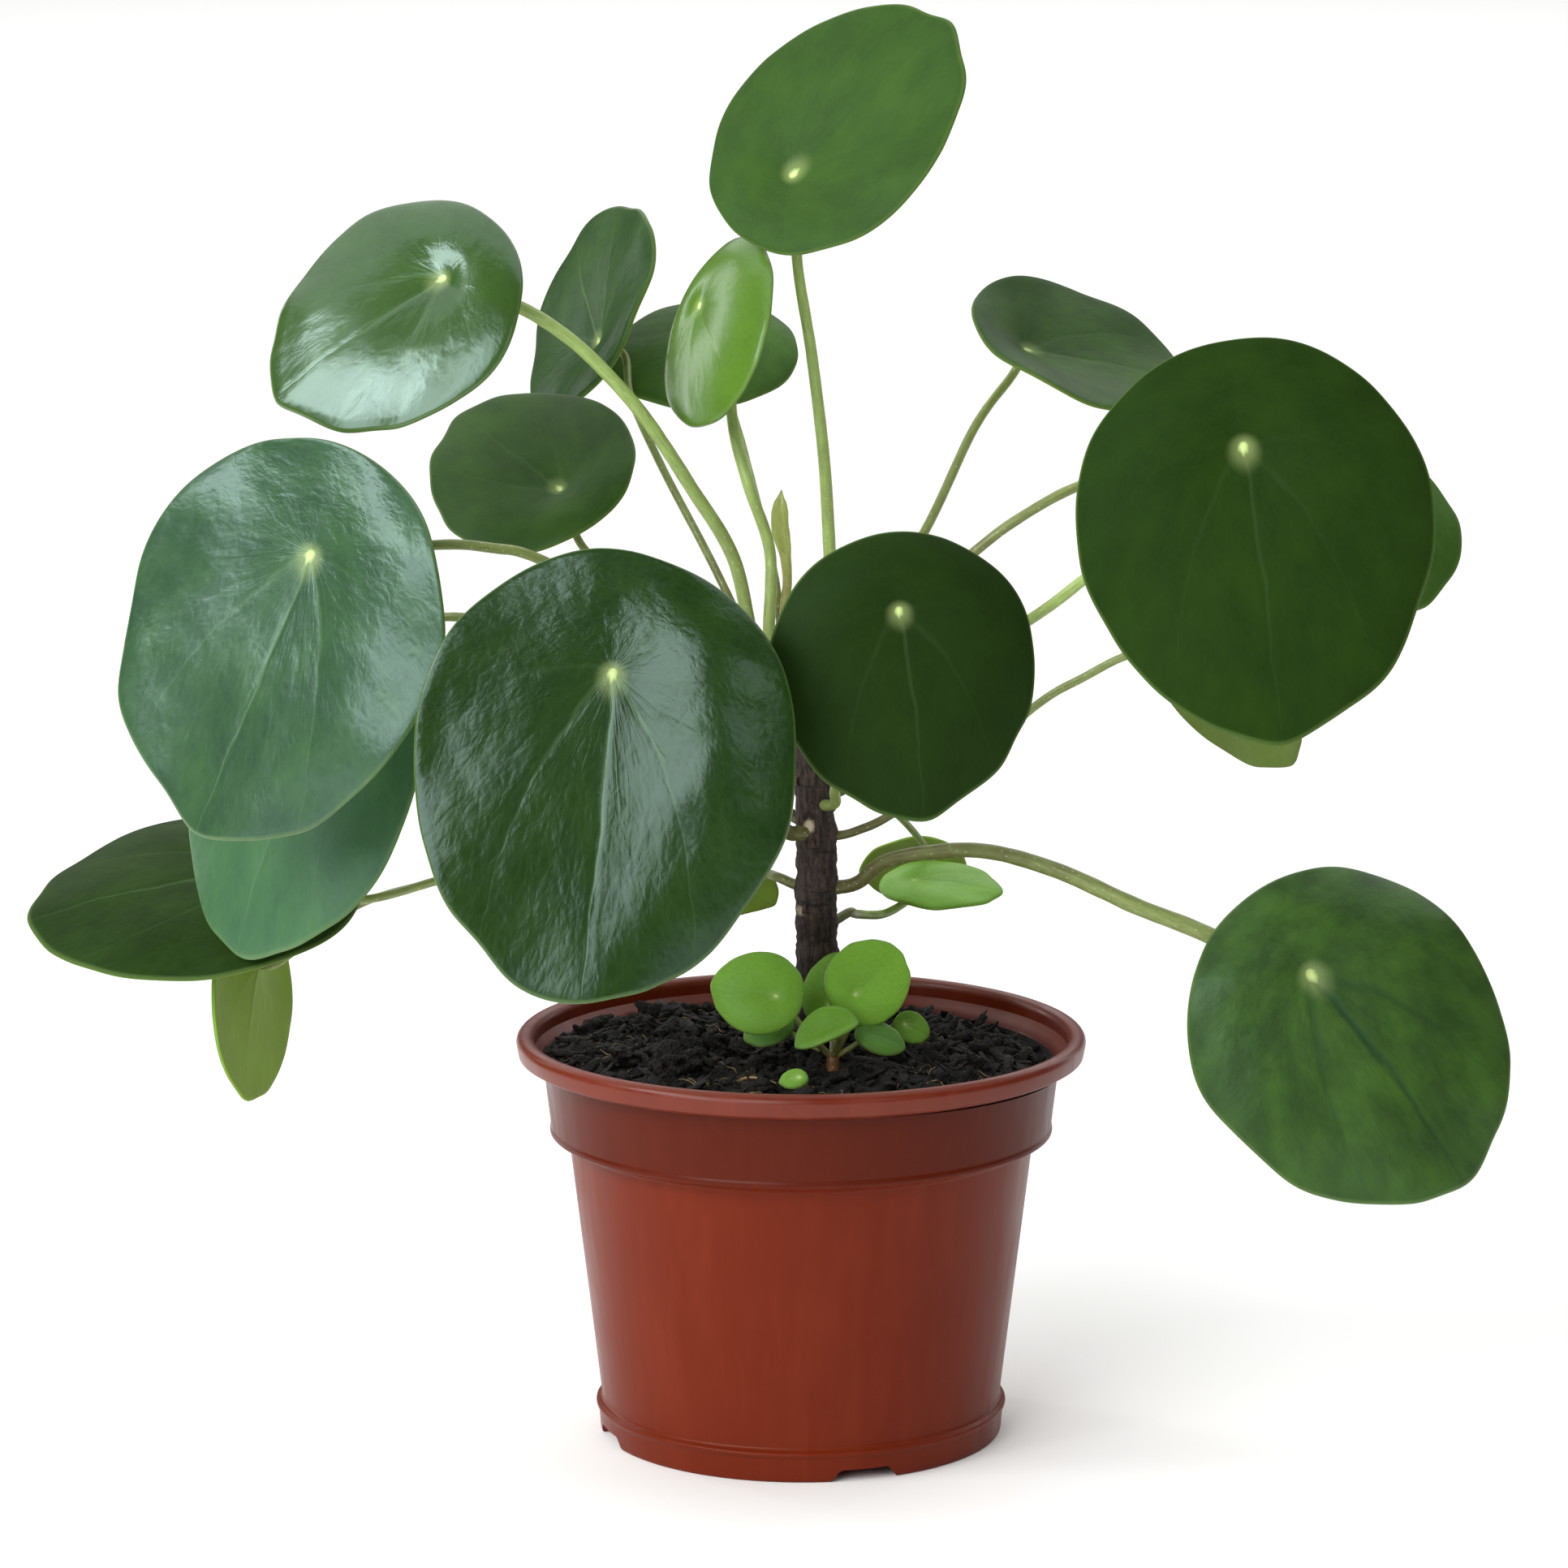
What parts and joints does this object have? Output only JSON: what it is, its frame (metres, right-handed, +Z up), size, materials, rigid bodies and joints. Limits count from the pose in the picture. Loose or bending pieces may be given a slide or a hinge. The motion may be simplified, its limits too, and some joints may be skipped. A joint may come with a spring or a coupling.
{
  "type": "potted plant",
  "caption": "Potted house plant with round shield-like leaves on long stalks from a short woody trunk, in a terracotta-coloured nursery pot of dark peat.",
  "frame": {"origin": "centre of the pot's underside, on the surface that the pot stands on", "axes": "+Z up; the side that the picture shows faces -Y; +X to the right as seen in it"},
  "size_m": [0.311, 0.1664, 0.3008],
  "materials": {
    "pot": "injection-moulded polypropylene in a dull terracotta brown, smooth with a faint sheen",
    "soil": "dark, coarse peat with bits of bark and fibre; wood stands in for it",
    "bark": "dull purplish-brown bark with paler leaf scars",
    "stalk": "smooth, fleshy olive-green leaf stalk; plastic stands in for it",
    "bud": "soft yellow-brown folded leaf; plastic stands in for it",
    "leaf_dark": "dark green leaf, nearly matt; plastic stands in for it",
    "leaf_mid": "mid-green leaf with a waxy shine; plastic stands in for it",
    "leaf_blue": "dark green leaf with a bluish waxy bloom and sunken veins; plastic stands in for it",
    "leaf_bright": "young yellow-green leaf, glossy; plastic stands in for it",
    "leaf_pale": "leaf whose pale, matt underside shows; plastic stands in for it"
  },
  "bodies": {
    "root": {"pot": "pot", "soil": "soil", "trunk": "bark", "shoot_tip": "stalk", "bud": "bud", "shoot_main": "leaf_bright", "shoot_side": "leaf_bright", "shoot_front": "leaf_bright", "blade_top": "leaf_mid", "stalk_top": "stalk", "blade_upper_left": "leaf_mid", "stalk_upper_left": "stalk", "blade_back_left": "leaf_blue", "stalk_back_left": "stalk", "blade_back_middle": "leaf_dark", "stalk_back_middle": "stalk", "blade_young": "leaf_bright", "stalk_young": "stalk", "blade_middle_left": "leaf_dark", "stalk_middle_left": "stalk", "blade_left": "leaf_blue", "stalk_left": "stalk", "blade_front": "leaf_blue", "stalk_front": "stalk", "blade_lower_left": "leaf_mid", "stalk_lower_left": "stalk", "blade_far_left": "leaf_dark", "stalk_far_left": "stalk", "blade_hanging": "leaf_bright", "stalk_hanging": "stalk", "blade_centre": "leaf_dark", "stalk_centre": "stalk", "blade_right": "leaf_dark", "stalk_right": "stalk", "blade_upper_right": "leaf_dark", "stalk_upper_right": "stalk", "blade_right_back": "leaf_dark", "stalk_right_back": "stalk", "blade_right_under": "leaf_pale", "stalk_right_under": "stalk", "blade_lower_right": "leaf_mid", "stalk_lower_right": "stalk", "blade_small_right": "leaf_bright", "stalk_small_right": "stalk", "blade_small_left": "leaf_pale", "stalk_small_left": "stalk", "blade_small_back": "leaf_pale", "stalk_small_back": "stalk"}
  },
  "joints": []
}
